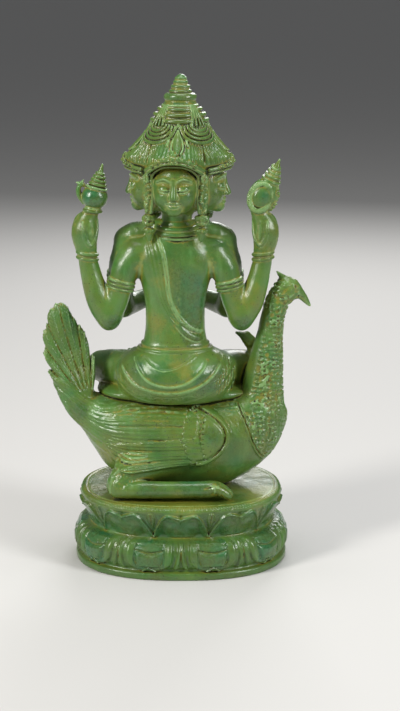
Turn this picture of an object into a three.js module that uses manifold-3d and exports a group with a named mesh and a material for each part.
// Four-faced, four-armed Brahma seated sideways on his goose, on an oval double-lotus base: one bronze casting.
// Millimetres, +Z up. Origin at the centre of the flat underside. The side with the figure's back faces -Y,
// the figure looks along +Y, and the goose's head is at +X.
import * as THREE from "three";
import { ParametricGeometry } from "three/addons/geometries/ParametricGeometry.js";
import { mergeVertices } from "three/addons/utils/BufferGeometryUtils.js";
import Module from "manifold-3d";

const wasm = await Module();
wasm.setup();

// ---------------------------------------------------------------- driving sizes
const HEIGHT = 300; // underside to tip of crown
const BASE = {
  halfW: 66.5, halfD: 54.5, squareness: 2.35, // plan outline, a superellipse
  footZ: 4.6, waistZ: 24.2, rimZ: 42.5, topZ: 45, // levels
  petals: 10, relief: 2.0,
};
const GOOSE = { backZ: 102.5, bellyZ: 44, halfDepth: 29, headX: 66, headZ: 170 };
const FIG = { x: -3.5, y: -5, seatZ: 101.5, hipHalfW: 37.5, waistHalfW: 18.3, shoulderHalfW: 27 };
const HEAD = { x: -1.2, y: 0, z: 232.6, yaw: THREE.MathUtils.degToRad(-5), faceOut: 14.5, faceW: 13.6, faceD: 14.5, faceH: 17.2 };
const TAIL = { rootX: -50, rootZ: 88 };
const UPPER_FACETS = 7000; // most facets of the goose and the figure
const TAU = Math.PI * 2;

// ---------------------------------------------------------------- helpers
const clamp01 = (t) => Math.min(1, Math.max(0, t));
const ease = (t) => { t = clamp01(t); return t * t * (3 - 2 * t); };
// value of a table [[at, a, b, ...], ...] at t, with smooth blends between its rows
function along(table, t) {
  if (t <= table[0][0]) return table[0].slice(1);
  for (let i = 1; i < table.length; i++) {
    if (t <= table[i][0]) {
      const k = (t - table[i - 1][0]) / (table[i][0] - table[i - 1][0]);
      return table[i].slice(1).map((b, j) => table[i - 1][j + 1] + (b - table[i - 1][j + 1]) * k);
    }
  }
  return table[table.length - 1].slice(1);
}
// cos and sin pushed towards a rounded square
const power = (c, n) => Math.sign(c) * Math.pow(Math.abs(c), 2 / n);

// closed geometry -> solid
function solid(geometry) {
  const g = geometry.clone();
  for (const name of Object.keys(g.attributes)) if (name !== "position") g.deleteAttribute(name);
  const m = mergeVertices(g, 1e-3);
  const p = m.attributes.position.array, index = m.index.array, keep = [];
  for (let i = 0; i < index.length; i += 3) {
    const [a, b, c] = [index[i], index[i + 1], index[i + 2]];
    if (a !== b && b !== c && c !== a) keep.push(a, b, c);
  }
  let volume = 0;
  const at = (i) => new THREE.Vector3(p[3 * i], p[3 * i + 1], p[3 * i + 2]);
  for (let i = 0; i < keep.length; i += 3)
    volume += at(keep[i]).dot(at(keep[i + 1]).cross(at(keep[i + 2])));
  if (volume < 0) for (let i = 0; i < keep.length; i += 3) [keep[i + 1], keep[i + 2]] = [keep[i + 2], keep[i + 1]];
  return new wasm.Manifold(new wasm.Mesh({ numProp: 3, vertProperties: new Float32Array(p), triVerts: new Uint32Array(keep) }));
}
// closed skin: around(u) x along(v); its first and last rows are single points
function skin(nu, nv, f) {
  const g = new ParametricGeometry((u, v, target) => { const q = f(u >= 1 ? 0 : u, v); target.set(q[0], q[1], q[2]); }, nu, nv);
  return solid(g);
}
// tube through points [x, y, z, r] or [x, y, z, r, r2], with round ends; r2 is the radius across the bend plane
function limb(points, nu = 8, nv = 8) {
  const path = new THREE.CatmullRomCurve3(points.map((p) => new THREE.Vector3(p[0], p[1], p[2])), false, "centripetal");
  const lengths = path.getLengths(200), total = lengths[200];
  const radii = points.map((p, i) => {
    // where each point lies along the curve
    const t = i / (points.length - 1);
    return [lengths[Math.round(t * 200)] / total, p[3], p[4] ?? p[3]];
  });
  const side = new THREE.Vector3(0, 1, 0);
  return skin(nu, nv, (u, v) => {
    // the first and last rows close the two ends
    const cap = (nv < 9 ? 1 : 2) / nv;
    let s, shrink = 1, push = 0;
    if (v < cap) { const k = 1 - v / cap; s = 0; shrink = Math.sqrt(Math.max(0, 1 - k * k)); push = -k; }
    else if (v > 1 - cap) { const k = (v - 1 + cap) / cap; s = 1; shrink = Math.sqrt(Math.max(0, 1 - k * k)); push = k; }
    else s = clamp01((v - cap) / (1 - 2 * cap));
    const c = path.getPointAt(s), d = path.getTangentAt(s);
    const a = new THREE.Vector3().crossVectors(d, side);
    if (a.lengthSq() < 0.02) a.crossVectors(d, new THREE.Vector3(1, 0, 0));
    a.normalize();
    const b = new THREE.Vector3().crossVectors(d, a).normalize();
    const [ra, rb] = along(radii, s);
    c.addScaledVector(d, push * Math.min(ra, rb) * 0.8);
    c.addScaledVector(a, Math.cos(TAU * u) * ra * shrink).addScaledVector(b, Math.sin(TAU * u) * rb * shrink);
    return [c.x, c.y, c.z];
  });
}
function ball(x, y, z, rx, ry, rz, nu = 12, nv = 8, turn = null) {
  const g = new THREE.SphereGeometry(1, nu, nv);
  g.rotateX(Math.PI / 2);
  g.scale(rx, ry, rz);
  if (turn) g.applyMatrix4(new THREE.Matrix4().makeRotationFromEuler(new THREE.Euler(turn[0], turn[1], turn[2])));
  g.translate(x, y, z);
  return solid(g);
}
// turned shape: profile [[r, h], ...] about an axis that leans by (leanX) about Y, standing at x, y, z
function turned(profile, nu, x, y, z, lean = 0) {
  const g = new THREE.LatheGeometry(profile.map(([r, h]) => new THREE.Vector2(r, h)), nu);
  g.rotateX(Math.PI / 2);
  g.rotateY(lean);
  g.translate(x, y, z);
  return solid(g);
}
function ring(x, y, z, rx, ry, tube, nu = 20, turn = [0, 0, 0], nt = 6) {
  const g = new THREE.TorusGeometry(1, tube / ((rx + ry) / 2), nt, nu);
  g.scale(rx, ry, (rx + ry) / 2);
  g.applyMatrix4(new THREE.Matrix4().makeRotationFromEuler(new THREE.Euler(...turn)));
  g.translate(x, y, z);
  return solid(g);
}
const join = (list) => list.reduce((a, b) => a.add(b));

// ---------------------------------------------------------------- lotus base
function lotusBase() {
  const n = BASE.squareness;
  // equal steps along the outline, so that every petal is equally wide
  const steps = 720, arc = [0];
  const plan = (w, d, t) => [w * power(Math.cos(t), n), d * power(Math.sin(t), n)];
  for (let i = 1; i <= steps; i++) {
    const [a, b] = [plan(62, 51, (TAU * (i - 1)) / steps), plan(62, 51, (TAU * i) / steps)];
    arc.push(arc[i - 1] + Math.hypot(a[0] - b[0], a[1] - b[1]));
  }
  const angle = (u) => {
    const want = ((((u % 1) + 1) % 1)) * arc[steps];
    let i = 1;
    while (arc[i] < want) i++;
    return (TAU * (i - 1 + (want - arc[i - 1]) / (arc[i] - arc[i - 1]))) / steps;
  };
  // [row, z, inset of the outline from halfW and halfD]
  const rows = [
    [0, 0, 0.4], [1, 3.4, 0], [2, BASE.footZ, 2.6], [3, 9, 0.8], [4, 15.5, 0.6], [5, 20.5, 2.2],
    [6, BASE.waistZ, 7.6], [7, 27, 8.6], [8, 34, 6.0], [9, 39.4, 4.4], [10, BASE.rimZ, 3.0], [11, BASE.topZ, 4.2],
  ];
  const last = rows.length - 1;
  const nu = 80, nv = last + 2;
  return skin(nu, nv, (u, v) => {
    const row = Math.round(v * nv) - 1;
    if (row < 0) return [0, 0, 0];
    if (row > last) return [0, 0, BASE.topZ];
    const [z, inset] = rows[row].slice(1);
    let out = 0;
    // s runs across one petal, -0.5 to 0.5, and k from its root to its tip; a petal of the upper row stands in
    // the front middle, and the lower row hangs half a petal further round
    const lower = z > BASE.footZ && z < BASE.waistZ, upper = z > 25 && z < BASE.rimZ - 0.5;
    if (lower || upper) {
      const q = u * BASE.petals + (upper ? 0.25 * BASE.petals - 0.5 : 0.25 * BASE.petals);
      const s = q - Math.floor(q) - 0.5;
      const k = upper ? (z - BASE.waistZ) / (BASE.rimZ - BASE.waistZ) : (BASE.waistZ - z) / (BASE.waistZ - BASE.footZ);
      out = BASE.relief * (1 - Math.pow(Math.abs(2 * s), 2.6)) * ease((1.25 - k) / 0.7) - BASE.relief * 0.35;
    }
    const t = angle(u);
    const [x, y] = plan(BASE.halfW - inset + out, BASE.halfD - inset + out, t);
    return [x, y, z];
  });
}

// ---------------------------------------------------------------- goose
// [x, top z, bottom z, half depth]
const BODY = [
  [-62, 91, 85, 3], [-57, 99, 72, 13], [-47, 102.5, 57, 21.5], [-30, 103, 48, 26.5], [-10, 102.3, GOOSE.bellyZ, GOOSE.halfDepth],
  [12, 102, GOOSE.bellyZ, GOOSE.halfDepth], [30, 102.5, 47, 27], [45, 103, 54, 21.5], [55, 103, 64, 16.5], [62, 98, 76, 10.5], [65, 92, 84, 4],
];
function body() {
  const nv = 11;
  return skin(18, nv, (u, v) => {
    const x0 = BODY[0][0], x1 = BODY[BODY.length - 1][0];
    if (v <= 0) return [x0 - 2, 0, 88];
    if (v >= 1) return [x1 + 1.4, 0, 88];
    const x = x0 + (x1 - x0) * (0.5 - 0.5 * Math.cos(Math.PI * (v * 0.94 + 0.03))) ;
    const [top, bottom, depth] = along(BODY, x);
    const c = Math.cos(TAU * u), s = Math.sin(TAU * u);
    return [x, depth * power(s, 2.3), (top + bottom) / 2 + ((top - bottom) / 2) * power(c, 2.2)];
  });
}
function neckAndHead() {
  const neck = limb([[46, 0, 80, 17, 16], [51.5, 0, 100, 13, 13], [52, 0, 120, 10.4, 10.2], [53, 0, 141, 9.2, 9], [56.5, 0, 156, 8.6, 8.2], [62, 0, 166.5, 8, 7.4], [68, 0, 169, 6.4, 6]], 10, 12);
  const head = ball(GOOSE.headX, 0, GOOSE.headZ, 8, 6.8, 7.2, 10, 6);
  const beak = limb([[70, 0, 168, 4.2, 3.6], [75, 0, 163.5, 2.9, 2.4], [79.5, 0, 158.6, 0.9, 0.8]], 6, 6);
  const crest = limb([[63, 0, 175.5, 2.6, 1.6], [60, 0, 178.5, 1.5, 1.2], [58.2, 0, 181, 0.7, 0.6]], 5, 5);
  const collar = ring(46, 0, 82, 21.6, 19.8, 1.5, 18, [0, THREE.MathUtils.degToRad(60), 0], 4);
  const knob = ball(51.8, 0, 65.5, 3.2, 4, 3.2, 7, 5);
  return [neck, head, beak, crest, collar, knob];
}
// raised fan of tail feathers: angle from the vertical towards the tail side, length from the root
const FAN = [
  [2, 16], [8, 40], [12, 56], [17, 71], [21, 76], [26, 74], [31, 68], [38, 57.5], [46, 47.5], [55, 38.5], [64, 31], [75, 25.5], [88, 21], [104, 17],
];
function tail() {
  const nu = 36, nv = 6;
  const ribs = 9;
  // u runs round the outline (out on one face, back on the other), v from the root to the rim
  const g = new ParametricGeometry((u, v, target) => {
    const w = u >= 1 ? 0 : u, near = w < 0.5 ? 1 : -1, k = w < 0.5 ? w * 2 : 2 - w * 2; // k: 0..1 across the fan
    const deg = 2 + 102 * k;
    const [len] = along(FAN, deg);
    const a = THREE.MathUtils.degToRad(deg), r = len * v;
    const swell = Math.sin(Math.PI * clamp01(k)) ** 0.6;
    const rib = 0.8 * Math.abs(Math.sin(Math.PI * ribs * k)) * v;
    const half = v <= 0 ? 0 : (1.6 + 10.5 * swell * (1 - 0.75 * v ** 1.6) - (1 - swell) * 0.8) * Math.min(1, v * 3) + rib * swell;
    const edge = v >= 1 ? 0 : 1;
    target.set(TAIL.rootX - Math.sin(a) * (r + (v >= 1 ? 0.4 : 0)), near * half * (k <= 0 || k >= 1 ? 0 : edge), TAIL.rootZ + Math.cos(a) * (r + (v >= 1 ? 0.4 : 0)));
  }, nu, nv);
  const fan = solid(g);
  const root = limb([[-44, 0, 84, 15, 15], [-54, 0, 92, 12, 12.5], [-62, 0, 104, 9, 10], [-66, 0, 118, 6, 8]], 10, 7);
  return [fan, root];
}
// folded wing on each flank: a shoulder boss and long feathers that run to the tail
function wing(side) {
  const feathers = 3, x0 = -55, x1 = 31, nu = 18, nv = 9;
  const w = skin(nu, nv, (u, v) => {
    const x = x0 + (x1 - x0) * (1 - Math.cos(Math.PI * v)) / 2;
    const k = (x - x0) / (x1 - x0);
    const [zc, hh, y] = along([[0, 88, 2, 18], [0.06, 87.5, 12, 19.5], [0.2, 86.5, 17, 23.5], [0.45, 86, 18, 27.2], [0.75, 86.5, 18.4, 27.6], [0.9, 87, 15.5, 26], [0.97, 87, 10, 25], [1, 87, 1, 24]], k);
    const c = Math.cos(TAU * u), s = Math.sin(TAU * u);
    const z = zc + hh * c;
    const groove = s > 0 && k < 0.72 && k > 0.04 ? 0.9 * Math.cos(TAU * feathers * (0.5 + c / 2)) : 0;
    const thick = along([[0, 1], [0.1, 4], [0.5, 5.2], [0.85, 6.2], [0.96, 4], [1, 0.6]], k)[0];
    if (v <= 0 || v >= 1) return [x, side * y, zc];
    return [x, side * (y + thick * s + groove), z];
  });
  return w;
}
function legFolded(side) {
  const y = side * 33;
  const shank = limb([[-41, y * 1.0, 54, 6, 5.6], [-20, y * 1.06, 52, 4.8, 4.5], [0, y * 1.1, 51.5, 4.6, 4.2], [18, y * 1.09, 51.5, 4.8, 4.4], [27, y * 1.06, 50.5, 5, 5]], 7, 9);
  const haunch = limb([[-12, side * 25.5, 68, 9, 7], [-26, side * 28.5, 63.5, 9.6, 7.6], [-37, side * 31.5, 58.5, 8.4, 7], [-42, side * 33, 54.5, 6.4, 6]], 8, 7);
  const toes = [-1, 0, 1].map((i) => limb([[22, y * 1.06 + i * 2.2 * side, 49.6 + (1 - Math.abs(i)) * 2, 2.4, 2.2], [32, y * 1.04 + i * 3.2 * side, 47.4, 1.5, 1.5]], 5, 4));
  return [shank, haunch, ...toes];
}

// ---------------------------------------------------------------- figure
// [z, half width, half depth, centre y]
const TORSO = [
  [124, 27, 18, -4], [129, 24.5, 16.5, -4], [134, 22, 14.8, -4.5], [140, 19.8, 13, -5], [147, 18.5, 12, -5], [157, 18.2, 11.6, -5], [167, 19.4, 12, -4.6],
  [177, 21.8, 12.8, -4], [186, 24.6, 13.4, -3.4], [193, 27, 13.2, -3], [198, 27, 12.4, -2.6], [202, 23, 11.4, -2.4], [205.5, 15.5, 10.4, -2.2], [208, 11, 9.6, -2],
];
function torso() {
  const z0 = TORSO[0][0], z1 = TORSO[TORSO.length - 1][0], nv = 14;
  return skin(16, nv, (u, v) => {
    if (v <= 0) return [FIG.x, -4, z0 - 1];
    if (v >= 1) return [FIG.x + 1, -2, z1 + 0.5];
    const z = z0 + ((z1 - z0) * (v * nv - 1)) / (nv - 2);
    const [w, d, y] = along(TORSO, z);
    const c = Math.cos(TAU * u), s = Math.sin(TAU * u);
    return [FIG.x + w * power(c, 2.2), y + d * power(s, 2.15), z];
  });
}
function hips() {
  // seat wrapped in cloth: flattened dome with three stepped folds at the back
  const z0 = FIG.seatZ, z1 = 134.5, nv = 11;
  const wrap = skin(20, nv, (u, v) => {
    const c = Math.cos(TAU * u), s = Math.sin(TAU * u);
    if (v <= 0) return [FIG.x, -2, z0];
    if (v >= 1) return [FIG.x, -4, z1];
    const z = z0 + (z1 - z0) * (1 - Math.cos((Math.PI * (v * nv - 1)) / (nv - 2))) / 2;
    const [w, d] = along([[z0, 28, 20], [104, 32, 23], [109, 36, 25.5], [115, 37.8, 26.4], [121, 37.4, 25.6], [126, 34.5, 23], [130.5, 29, 19], [z1, 21, 14.4]], z);
    const fold = s < 0 ? 0.7 * Math.cos(((z - z0) / 8) * TAU) * Math.min(1, -s * 1.5) : 0;
    return [FIG.x + (w + fold * 0.4) * power(c, 2.2), -3 + (d + fold) * power(s, 2.2), z];
  });
  const belt = ring(FIG.x, -4.5, 133.6, 22.6, 15.2, 1.7, 18, [0, 0, 0], 4);
  // crossed legs in front and the edge of the seat cloth under them
  const cloth = ball(FIG.x, 9, 105.5, 50, 27, 7.5, 18, 6);
  const legs = [1, -1].flatMap((m) => [
    limb([[FIG.x + m * 16, 2, 116, 14, 13], [FIG.x + m * 36, 13, 116, 12, 11.5], [FIG.x + m * 47, 22, 115.5, 9.6, 9.2]], 8, 7),
    limb([[FIG.x + m * 47, 23, 114.5, 9, 9], [FIG.x + m * 26, 33, 112, 8.2, 8], [FIG.x + m * 2, 35, 110.5 + (m > 0 ? 4 : 0), 6.4, 6], [FIG.x - m * 14, 30, 114 + (m > 0 ? 3 : 1), 5, 4.6]], 7, 8),
  ]);
  return [wrap, belt, cloth, ...legs];
}
function rearArm(m) {
  // m: -1 arm with the water pot, +1 arm with the conch
  const X = (v) => FIG.x + m * v;
  const upper = limb([[X(23), -4, 196, 9.5], [X(30), -6, 187, 8.8], [X(33), -6.5, 174, 7.6], [X(37), -6.5, 161, 8], [X(41), -6, 154, 8.6]], 8, 8);
  const fore = limb([[X(41), -6, 153.5, 8.8], [X(46.5), -6, 163, 8.2], [X(50.5), -5.5, 176, 7.2], [X(53.6), -5, 190, 6.2]], 8, 8);
  const armlet = ring(X(33.2), -6.5, 175, 8.4, 8.4, 1.4, 12, [0, THREE.MathUtils.degToRad(m * 14), 0], 4);
  const bracelet = ring(X(53.4), -5, 191.6, 7, 7, 1.3, 12, [0, THREE.MathUtils.degToRad(m * -8), 0], 4);
  const palm = ball(X(54.4), -4.6, 204, 9, 6.6, 10.4, 8, 6);
  const fingers = limb([[X(54.4), -4.4, 207, 7, 5.4], [X(52.6), -4.4, 213, 4.6, 4.2], [X(50.4), -4.4, 219, 3.8, 3.6]], 6, 6);
  const shoulder = ball(X(26), -4, 194, 10.4, 9.4, 9.6, 9, 6);
  return [shoulder, upper, fore, armlet, bracelet, palm, fingers];
}
function waterPot() {
  const lean = THREE.MathUtils.degToRad(11);
  const pot = turned([[0, 0], [6.2, 0], [6.6, 1.6], [4.6, 3], [6.2, 5.2], [8.1, 8.6], [8.3, 11.6], [7, 15], [5.4, 16.8], [4.6, 21.2], [3.3, 24.4], [1.8, 28], [0, 30.6]], 10, -54, -4.4, 216.2, lean);
  const spout = limb([[-58, -4.4, 222.5, 2.6], [-62.6, -4.4, 226, 2], [-64.6, -4.4, 230.4, 1.7], [-63, -4.4, 233, 1.5]], 5, 7);
  return [pot, spout];
}
function conch() {
  const lean = THREE.MathUtils.degToRad(22);
  const shell = ball(48.6, -4.4, 227.6, 9.6, 8.2, 12.4, 10, 7, [0, lean, 0]);
  const spire = turned([[0, 0], [6.4, 0], [6.6, 1.8], [5, 3.8], [3.2, 8.6], [1.6, 12], [0, 15.4]], 9, 53.2, -4.4, 236.6, lean * 0.95);
  const eye = ball(47.6, -11.2, 228.2, 7, 3, 8, 9, 5, [0, lean, 0]);
  return [shell, spire, eye];
}
function frontArms() {
  const parts = [1, -1].flatMap((m) => {
    const X = (v) => FIG.x + m * v;
    return [
      ball(X(29), 4.5, 193.6, 10.6, 9.2, 10, 8, 6),
      limb([[X(28), 3, 194.5, 9.4], [X(33.4), 6, 184, 8.2], [X(34), 11, 168, 7.2], [X(33), 16, 155, 7.2]], 8, 7),
      limb([[X(33), 16.5, 154.5, 7.2], [X(24), 27, 156, 6.2], [X(12), 34, 160.5, 5.2]], 7, 7),
      limb([[X(11), 34.4, 160, 4.8, 5.4], [X(5.4), 36, 165, 4.4, 5], [X(3.4), 36.4, 171, 3, 3.6]], 6, 6),
      ring(X(34), 8.4, 176, 8.8, 8.8, 1.3, 12, [THREE.MathUtils.degToRad(-18), 0, 0], 4),
    ];
  });
  const bud = turned([[0, 0], [2.6, 0.6], [4.6, 4], [5, 7.6], [3.6, 11.6], [1.6, 14.6], [0, 17]], 8, FIG.x, 36.6, 166);
  return [...parts, bud];
}
// scarf end that stands behind the goose's neck
function scarf() {
  return [limb([[35, 15, 141, 3, 3], [39.5, 14, 134, 4, 3], [42, 13, 124, 4.6, 2.8], [41.5, 12, 112, 5, 3.4], [38, 12, 102, 5, 4]], 6, 8)];
}

// ---------------------------------------------------------------- head with four faces and the piled-up hair
function spin(x, y, quarter, extra = 0) {
  const a = HEAD.yaw + (quarter * Math.PI) / 2 + extra;
  // quarter 0 looks along -Y
  return [HEAD.x + x * Math.cos(a) - y * Math.sin(a), HEAD.y + x * Math.sin(a) + y * Math.cos(a)];
}
const CROWN = [
  // [z, radius over a face, radius over the corner between two faces]
  [240.5, 31, 20], [244, 35.2, 23.6], [249, 33.6, 23.6], [253, 30.2, 22.6], [257, 26, 21.2], [262.5, 21.4, 19.4],
  [269, 18.4, 17.8], [274, 16, 15.6], [279.6, 11.4, 11.4], [282.5, 10.6, 10.6], [285.4, 11.8, 11.8], [288.4, 8, 8], [292.4, 6.2, 6.2], [297, 3.4, 3.4],
];
function crown() {
  const nv = CROWN.length + 1;
  return skin(24, nv, (u, v) => {
    const row = Math.round(v * nv) - 1, lean = (z) => ((z - 240) / 60) * 1.2;
    if (row < 0) return [HEAD.x, 0, CROWN[0][0] - 0.5];
    if (row >= CROWN.length) return [HEAD.x + lean(HEIGHT), 0, HEIGHT];
    const [z, rf, rc] = CROWN[row];
    const t = TAU * u, lobe = Math.abs(Math.cos(2 * t)) ** 2.2 * (Math.cos(2 * t) ** 2 > 0 ? 1 : 0);
    const four = Math.abs(Math.cos(2 * t)); // 1 over a face and 0 over a corner
    const r = rc + (rf - rc) * Math.pow(four, 1.5) * (lobe > 0 ? 1 : 0);
    const a = t + HEAD.yaw;
    return [HEAD.x + lean(z) + r * Math.cos(a), r * Math.sin(a), z];
  });
}
function faces() {
  const out = [];
  for (let q = 0; q < 4; q++) {
    const [x, y] = spin(0, -HEAD.faceOut, q);
    out.push(ball(x, y, HEAD.z, HEAD.faceW, HEAD.faceD, HEAD.faceH, 10, 8, [0, 0, HEAD.yaw + (q * Math.PI) / 2]));
    const nose = [[27.6, 239, 1.2], [29.6, 232, 1.7], [31, 228.6, 2.4]].map(([r, z, w]) => { const [nx, ny] = spin(0, -r + 1.2, q); return [nx, ny, z, w]; });
    out.push(limb(nose, 5, 5));
    // long ear and its pendant at the corner between two faces
    const [ex, ey] = spin(15.8, -15.8, q);
    out.push(ball(ex, ey, 229, 4, 4, 13, 6, 6, [0, 0, HEAD.yaw + (q * Math.PI) / 2 + Math.PI / 4]));
    const [px, py] = spin(15.6, -15.6, q);
    out.push(ball(px, py, 211, 4.8, 4.8, 8, 6, 5));
  }
  out.push(ball(HEAD.x, 0, 232, 18, 18, 17, 10, 6));
  out.push(limb([[FIG.x + 1, -2, 200, 9.6], [HEAD.x - 0.6, -1, 212, 9.2], [HEAD.x, 0, 224, 9.6]], 10, 6));
  out.push(ring(FIG.x + 1.2, -3, 206.6, 13.2, 11.6, 1.8, 14, [THREE.MathUtils.degToRad(8), 0, 0], 4));
  return out;
}

// ---------------------------------------------------------------- one casting
// Pockets that the joined shapes enclose are filled: only the outer skin of the casting is kept.
function outerSkin(mesh) {
  const tri = mesh.triVerts, root = Array.from({ length: mesh.numVert }, (_, i) => i);
  const find = (i) => { while (root[i] !== i) i = root[i] = root[root[i]]; return i; };
  for (let i = 0; i < tri.length; i += 3) { root[find(tri[i + 1])] = find(tri[i]); root[find(tri[i + 2])] = find(tri[i]); }
  const at = (i) => new THREE.Vector3(...mesh.vertProperties.slice(i * mesh.numProp, i * mesh.numProp + 3));
  const shells = new Map();
  for (let i = 0; i < tri.length; i += 3) {
    const key = find(tri[i]);
    if (!shells.has(key)) shells.set(key, { volume: 0, corners: [] });
    const shell = shells.get(key);
    shell.volume += at(tri[i]).dot(at(tri[i + 1]).cross(at(tri[i + 2])));
    shell.corners.push(tri[i], tri[i + 1], tri[i + 2]);
  }
  const outer = [...shells.values()].sort((a, b) => b.volume - a.volume)[0];
  return { points: Array.from({ length: mesh.numVert }, (_, i) => at(i)), corners: outer.corners };
}

// The narrow facets that the joins leave are merged away, cheapest edge first, until `most` facets are left.
function calm({ points, corners }, most) {
  const faces = [];
  for (let i = 0; i < corners.length; i += 3) faces.push([corners[i], corners[i + 1], corners[i + 2]]);
  const around = points.map(() => new Set());
  faces.forEach((f, i) => f.forEach((c) => around[c].add(i)));
  const normalOf = (a, b, c) => new THREE.Vector3().crossVectors(b.clone().sub(a), c.clone().sub(a));
  // squared distance to the planes round each point, weighted by their areas
  const error = points.map(() => new Float64Array(10));
  for (const f of faces) {
    const n = normalOf(...f.map((c) => points[c])), area = n.length() / 2;
    if (area < 1e-9) continue;
    n.normalize();
    const d = -n.dot(points[f[0]]), q = [n.x, n.y, n.z, d];
    let k = 0;
    for (let i = 0; i < 4; i++) for (let j = i; j < 4; j++, k++) for (const c of f) error[c][k] += q[i] * q[j] * area;
  }
  const cost = (q, v) => {
    const p = [v.x, v.y, v.z, 1];
    let sum = 0, k = 0;
    for (let i = 0; i < 4; i++) for (let j = i; j < 4; j++, k++) sum += (i === j ? 1 : 2) * q[k] * p[i] * p[j];
    return sum;
  };
  const next = (c) => { const s = new Set(); for (const i of around[c]) for (const o of faces[i]) if (o !== c) s.add(o); return s; };
  const holds = (moved, other, to) => {
    for (const i of around[moved]) {
      const f = faces[i];
      if (f.includes(other)) continue;
      const before = normalOf(...f.map((c) => points[c]));
      const ends = f.map((c) => (c === moved ? to : points[c]));
      const after = normalOf(...ends);
      const longest = Math.max(ends[0].distanceTo(ends[1]), ends[1].distanceTo(ends[2]), ends[2].distanceTo(ends[0]));
      if (after.length() < 0.06 * longest * longest && after.length() < before.length() * 0.8) return false;
      if (before.length() > 1e-7 && after.dot(before) < 0.35 * after.length() * before.length()) return false;
    }
    return true;
  };
  let count = faces.length;
  for (let pass = 0; pass < 60 && count > most; pass++) {
    const edges = [];
    faces.forEach((f) => {
      if (!f) return;
      for (let i = 0; i < 3; i++) {
        const [a, b] = [f[i], f[(i + 1) % 3]];
        if (a > b) continue;
        const q = error[a].map((e, k) => e + error[b][k]);
        const lowA = points[a].z < 0.01, lowB = points[b].z < 0.01;
        const options = lowA === lowB ? [points[a].clone().add(points[b]).multiplyScalar(0.5), points[a], points[b]] : [lowA ? points[a] : points[b]];
        const best = options.map((v) => [cost(q, v), v]).sort((x, y) => x[0] - y[0])[0];
        edges.push([best[0] + 1e-4 * points[a].distanceToSquared(points[b]), a, b, best[1].clone(), q]);
      }
    });
    edges.sort((x, y) => x[0] - y[0]);
    const touched = new Set(), share = Math.max(40, Math.round(edges.length * 0.12));
    let done = 0;
    for (const [, a, b, to, q] of edges) {
      if (count <= most || done > share) break;
      if (touched.has(a) || touched.has(b)) continue;
      const na = next(a), nb = next(b);
      if ([...na].filter((c) => nb.has(c)).length !== 2) continue;
      if (!holds(a, b, to) || !holds(b, a, to)) continue;
      for (const i of [...around[b]]) {
        const f = faces[i];
        if (f.includes(a)) { for (const c of f) around[c].delete(i); faces[i] = null; count--; }
        else { f[f.indexOf(b)] = a; around[a].add(i); }
      }
      around[b].clear();
      points[a] = to; error[a] = q;
      na.forEach((c) => touched.add(c)); nb.forEach((c) => touched.add(c)); touched.add(a); touched.add(b);
      done++;
    }
    if (!done) break;
  }
  return { points, corners: faces.filter(Boolean).flat() };
}
function toGeometry({ points, corners }) {
  const position = new Float32Array(corners.length * 3);
  corners.forEach((c, i) => points[c].toArray(position, 3 * i));
  const g = new THREE.BufferGeometry();
  g.setAttribute("position", new THREE.BufferAttribute(position, 3));
  return mergeVertices(g, 1e-5);
}
const upper = join([
  body(), ...neckAndHead(), ...tail(), wing(-1), wing(1), ...legFolded(-1), ...legFolded(1),
  ...hips(), torso(), ...rearArm(-1), ...rearArm(1), ...waterPot(), ...conch(), ...frontArms(), ...scarf(), crown(), ...faces(),
]);
const cast = lotusBase().add(solid(toGeometry(calm(outerSkin(upper.getMesh()), UPPER_FACETS))));
const geometry = toGeometry(outerSkin(cast.getMesh()));
geometry.computeVertexNormals();

const bronze = new THREE.MeshStandardMaterial({ color: new THREE.Color(0.1, 0.34, 0.14), roughness: 0.38, metalness: 0.55 });
const statue = new THREE.Mesh(geometry, bronze);
statue.name = "brahma_goose_statue";
const group = new THREE.Group();
group.add(statue);
export default group;
